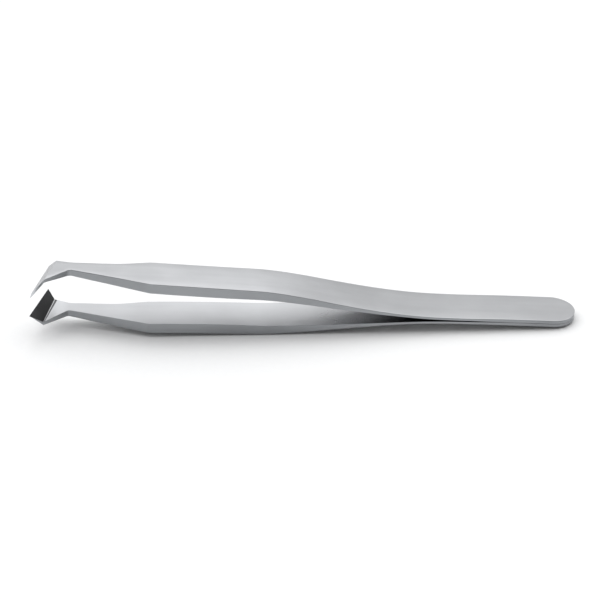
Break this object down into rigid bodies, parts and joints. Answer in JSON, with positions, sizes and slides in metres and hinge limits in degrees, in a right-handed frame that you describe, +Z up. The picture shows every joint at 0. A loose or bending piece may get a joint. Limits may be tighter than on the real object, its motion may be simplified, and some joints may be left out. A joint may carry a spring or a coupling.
{
  "type": "oblique-head cutting tweezers",
  "caption": "Steel tweezers with welded tail, sprung arms and heads folded to meet in an oblique cutting edge.",
  "frame": {"origin": "centre of the bounding box, at the surface that the tweezers lie on", "axes": "+X from the cutting heads to the welded tail, +Z up from the table, +Y to the far side; at rest the tail end and the lower arm's belly touch the table"},
  "size_m": [0.115, 0.011, 0.0139],
  "materials": {
    "satin_steel": "satin, brushed along the length",
    "weld_steel": "fused, dull"
  },
  "bodies": {
    "tail": {"upper_tang": "satin_steel", "lower_tang": "satin_steel", "spot_weld_rear": "weld_steel", "spot_weld_front": "weld_steel"},
    "upper_arm": {"upper_arm": "satin_steel"},
    "lower_arm": {"lower_arm": "satin_steel"}
  },
  "joints": [
    {"name": "upper_squeeze", "type": "hinge", "parent": "tail", "child": "upper_arm", "pos_m": [0.02911, 0.00013, 0.00317], "axis": [0, -1, 0], "range_deg": [0, 1.36], "stiffness_Nm_per_rad": 1.6},
    {"name": "lower_squeeze", "type": "hinge", "parent": "tail", "child": "lower_arm", "pos_m": [0.02905, 0.00013, 0.00226], "axis": [0, 1, 0], "range_deg": [0, 1.36], "stiffness_Nm_per_rad": 1.6}
  ],
  "couplings": [
    {"joint": "lower_squeeze", "follows": "upper_squeeze", "ratio": 1}
  ]
}
